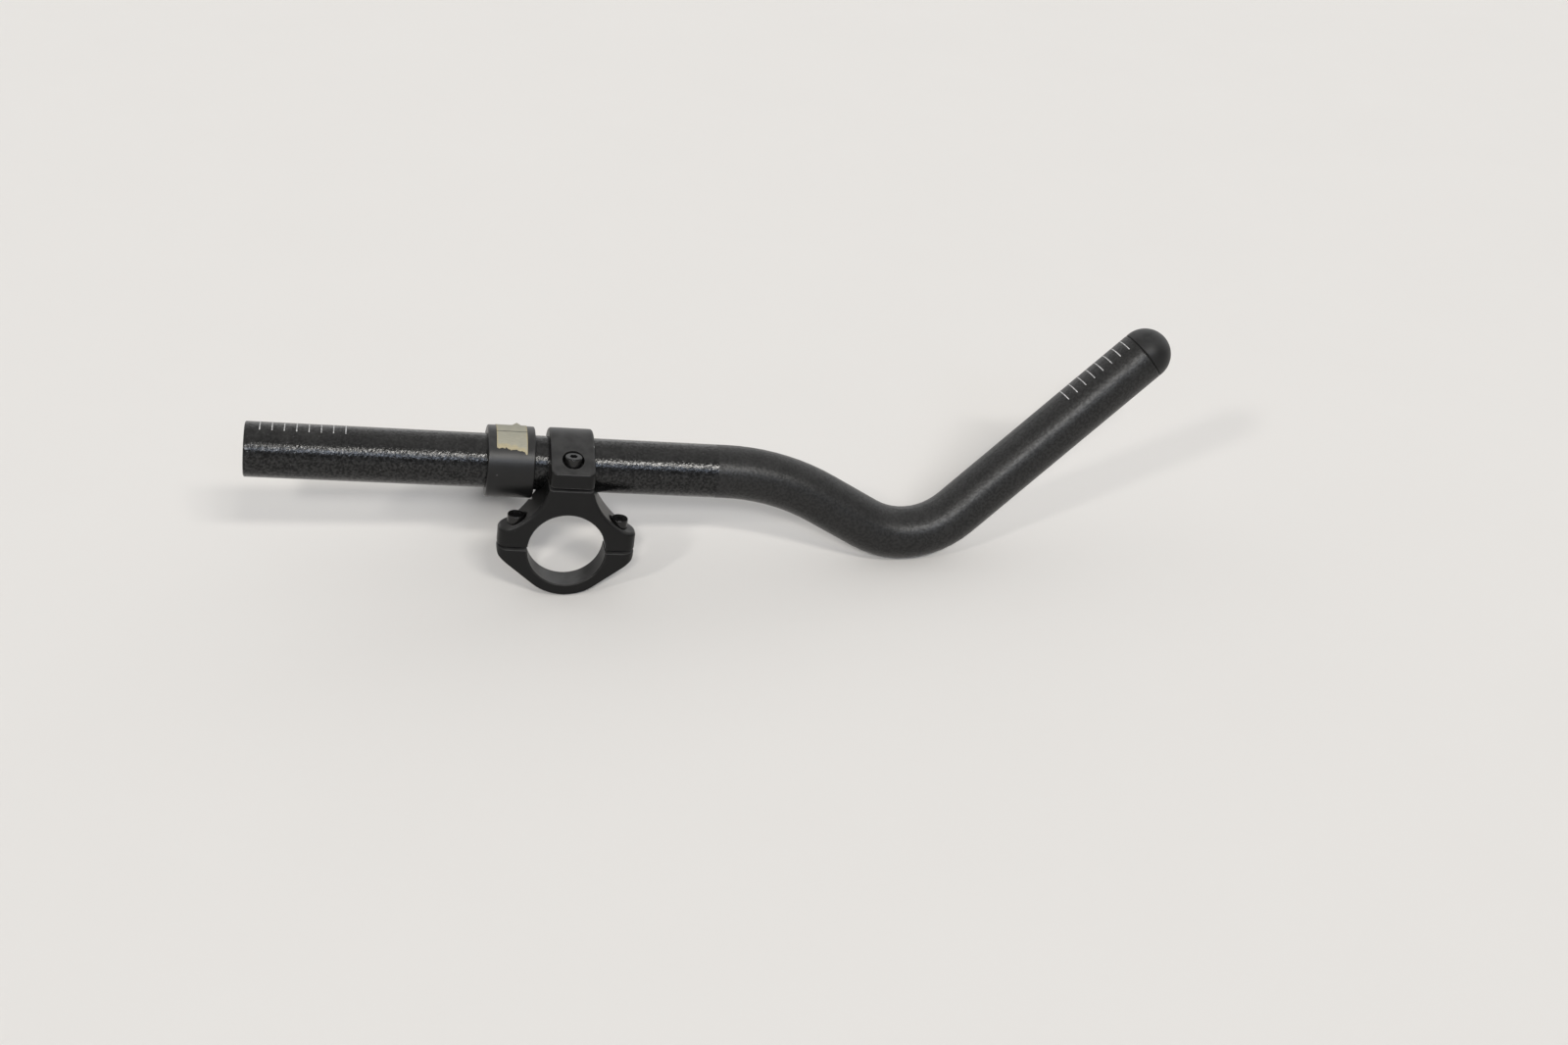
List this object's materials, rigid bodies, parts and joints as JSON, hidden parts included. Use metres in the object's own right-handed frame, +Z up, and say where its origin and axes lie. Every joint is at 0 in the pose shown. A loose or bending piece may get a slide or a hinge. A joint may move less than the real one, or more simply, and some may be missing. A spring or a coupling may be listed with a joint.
{
  "type": "aero handlebar extension",
  "caption": "S-bend extension tube with a domed end plug, held by a slit collar on a split handlebar clamp, with a flat armrest arm clamped round the tube behind it.",
  "frame": {"origin": "middle of the handlebar bore", "axes": "+X forward along the extension, +Y along the handlebar towards its outboard end, +Z up"},
  "size_m": [0.3823, 0.0949, 0.1206],
  "materials": {
    "tube_black": "satin black anodised, with a gritty gloss coat over the clamping length",
    "plug_black": "satin black moulding",
    "clamp_black": "matte black coated forging, lightly worn on its edges",
    "bolt_black": "black oxide, rubbed bright on its edges",
    "tape_beige": "aged crepe masking tape with torn ends"
  },
  "bodies": {
    "clamp": {"clamp_body": "clamp_black", "clamp_cap": "clamp_black", "collar_bolt": "bolt_black", "cap_bolt_front": "bolt_black", "cap_bolt_rear": "bolt_black"},
    "extension": {"extension_tube": "tube_black", "end_plug": "plug_black"},
    "armrest": {"armrest_bracket": "clamp_black", "bracket_bolt": "bolt_black", "tape_label": "tape_beige"}
  },
  "joints": [
    {"name": "extension_reach", "type": "slide", "parent": "clamp", "child": "extension", "axis": [1, 0, 0], "range_m": [-0.05, 0]},
    {"name": "armrest_turn", "type": "hinge", "parent": "extension", "child": "armrest", "pos_m": [-0.0242, 0.0156, 0.029], "axis": [1, 0, 0], "range_deg": [0, 70]}
  ]
}
